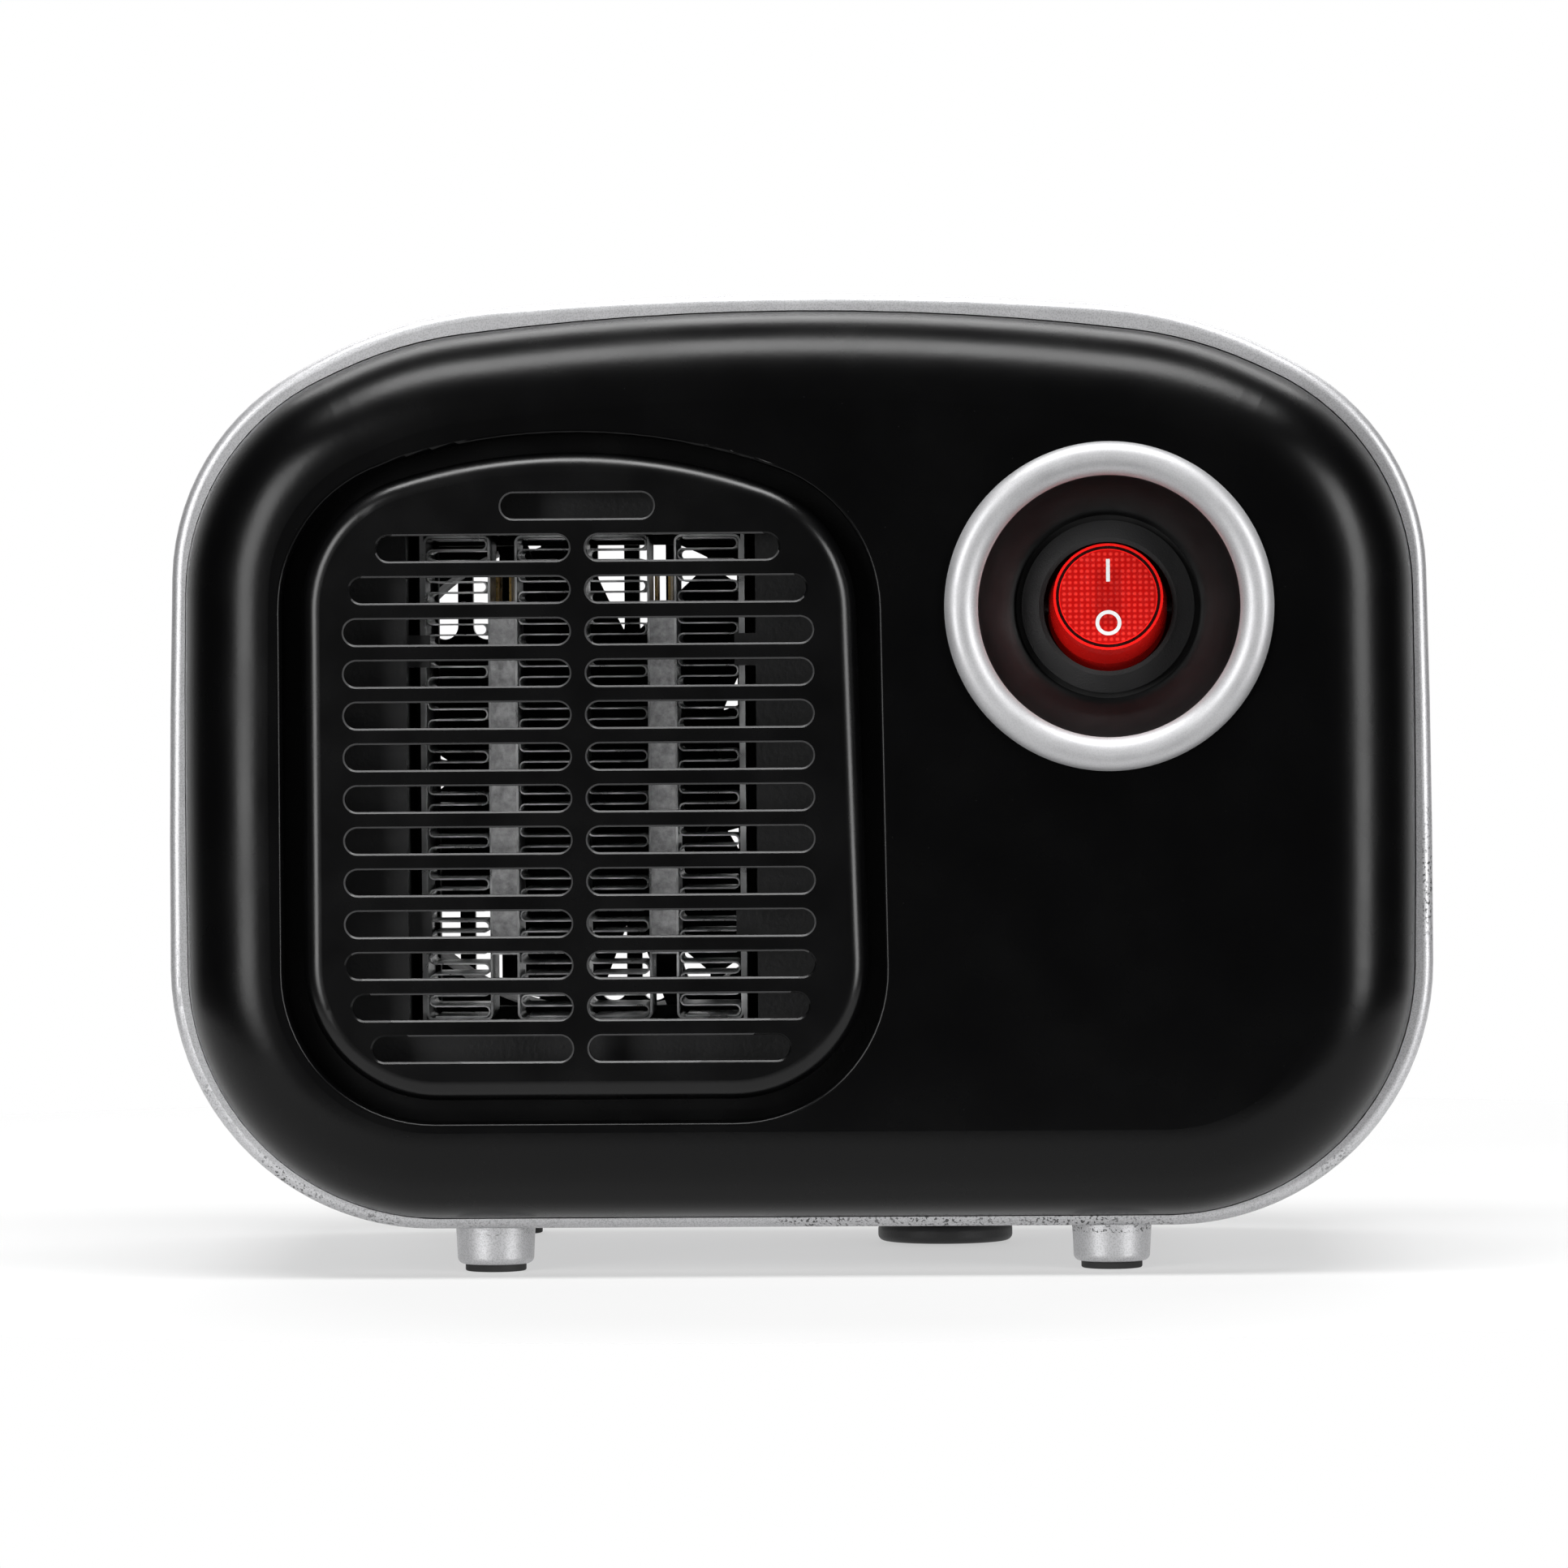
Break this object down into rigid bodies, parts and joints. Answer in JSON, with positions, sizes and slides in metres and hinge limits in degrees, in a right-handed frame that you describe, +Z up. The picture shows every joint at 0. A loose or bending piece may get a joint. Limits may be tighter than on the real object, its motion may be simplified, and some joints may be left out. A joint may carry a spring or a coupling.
{
  "type": "ceramic space heater",
  "caption": "Small retro-styled ceramic fan heater with a rounded silver band, black front, slotted air grille, round lit rocker switch in a dish, and short feet.",
  "frame": {"origin": "centre of the heater's footprint, on the surface it stands on", "axes": "+X to the right seen from the front, +Y from the front face to the rear cover, +Z up"},
  "size_m": [0.1688, 0.104, 0.1307],
  "materials": {
    "silver_paint": "silver paint with fine metal flake on moulded plastic",
    "silver_ring": "satin silver paint, slightly brushed",
    "black_satin_shell": "satin black paint with a fine orange peel",
    "black_gloss_plastic": "semi-gloss black moulded plastic",
    "black_matte_plastic": "fine-grain black moulded plastic",
    "red_translucent_plastic": "translucent red moulded plastic with a waffle pattern under the skin",
    "white_print": "white ink",
    "brass_contact": "bright brass",
    "tinned_brass": "tin-plated brass",
    "lamp_glass": "clear glass neon lamp",
    "black_rubber": "matte black rubber",
    "aluminium_fin": "bright rolled aluminium foil",
    "aluminium_tube": "dull rough aluminium with traces of grey adhesive",
    "ceramic": "dark grey fired ceramic",
    "heat_resistant_plastic": "matte black glass-filled nylon",
    "steel": "zinc-plated steel",
    "copper_wire": "enamelled copper wire",
    "bronze_bearing": "sintered bronze",
    "circuit_board": "green solder mask",
    "grey_plastic": "grey moulded plastic",
    "capacitor_sleeve": "black shrink sleeve",
    "white_plastic": "off-white moulded plastic"
  },
  "bodies": {
    "root": {"housing": "silver_paint", "trim_ring": "silver_ring", "front_shell": "black_satin_shell", "rear_cover": "black_satin_shell", "front_grille": "black_gloss_plastic", "switch_dish": "black_gloss_plastic", "switch_body": "black_matte_plastic", "cord_gland": "black_matte_plastic", "fan_frame": "black_matte_plastic", "micro_switch": "black_matte_plastic", "electrode_strips": "brass_contact", "switch_terminals": "tinned_brass", "foot_pads": "black_rubber", "fin_ribbon_1": "aluminium_fin", "fin_ribbon_2": "aluminium_fin", "fin_ribbon_3": "aluminium_fin", "fin_ribbon_4": "aluminium_fin", "fin_casing_1": "aluminium_fin", "fin_casing_2": "aluminium_fin", "fin_casing_3": "aluminium_fin", "fin_casing_4": "aluminium_fin", "side_plates": "aluminium_fin", "heater_tube_left": "aluminium_tube", "heater_tube_right": "aluminium_tube", "ceramic_stones_left": "ceramic", "ceramic_stones_right": "ceramic", "element_holder": "heat_resistant_plastic", "fan_duct": "heat_resistant_plastic", "rear_cover_screws": "steel", "front_shell_screws": "steel", "holder_screws": "steel", "board_screws": "steel", "fan_screws": "steel", "stator_core": "steel", "tip_spring": "steel", "stator_coils": "copper_wire", "fan_bearings": "bronze_bearing", "fan_board": "circuit_board", "power_board": "circuit_board", "film_capacitor": "grey_plastic", "terminal_blocks": "grey_plastic", "tip_cage": "grey_plastic", "thermal_cutout": "grey_plastic", "smoothing_capacitor": "capacitor_sleeve", "bridge_rectifier": "capacitor_sleeve", "thermal_fuse": "white_plastic"},
    "rocker": {"switch_rocker": "red_translucent_plastic", "rocker_marks": "white_print", "rocker_plunger": "brass_contact", "indicator_lamp": "lamp_glass"},
    "contact": {"contact_blade": "brass_contact"},
    "fan_rotor": {"fan_impeller": "black_matte_plastic", "rotor_cup": "steel", "rotor_magnet": "ceramic", "fan_shaft": "steel"},
    "tip_plunger": {"tip_plunger": "black_matte_plastic"},
    "tip_lever": {"micro_lever": "steel"},
    "tip_button": {"micro_button": "white_plastic"}
  },
  "joints": [
    {"name": "rocker_hinge", "type": "hinge", "parent": "root", "child": "rocker", "pos_m": [0.0413, -0.037, 0.08865], "axis": [1, 0, 0], "range_deg": [0, 28]},
    {"name": "contact_seesaw", "type": "hinge", "parent": "root", "child": "contact", "pos_m": [0.0413, -0.0276, 0.08865], "axis": [1, 0, 0], "range_deg": [-12.6, 0]},
    {"name": "fan_spin", "type": "hinge", "parent": "root", "child": "fan_rotor", "pos_m": [-0.02885, 0.01, 0.0663], "axis": [0, 1, 0], "continuous": true},
    {"name": "tip_slide", "type": "slide", "parent": "root", "child": "tip_plunger", "axis": [0, 0, 1], "range_m": [-0.004, 0], "stiffness_N_per_m": 60, "springref_m": -0.01, "deforming": ["tip_spring"]},
    {"name": "lever_hinge", "type": "hinge", "parent": "root", "child": "tip_lever", "pos_m": [0.0313, 0.0165, 0.03495], "axis": [0, 1, 0], "range_deg": [-17.6, 0]},
    {"name": "button_slide", "type": "slide", "parent": "root", "child": "tip_button", "axis": [0, 0, 1], "range_m": [-0.001, 0]}
  ],
  "couplings": [
    {"joint": "contact_seesaw", "follows": "rocker_hinge", "ratio": -0.45},
    {"joint": "lever_hinge", "follows": "tip_slide", "rad_per_m": 76.5},
    {"joint": "button_slide", "follows": "tip_slide", "ratio": 0.25}
  ]
}
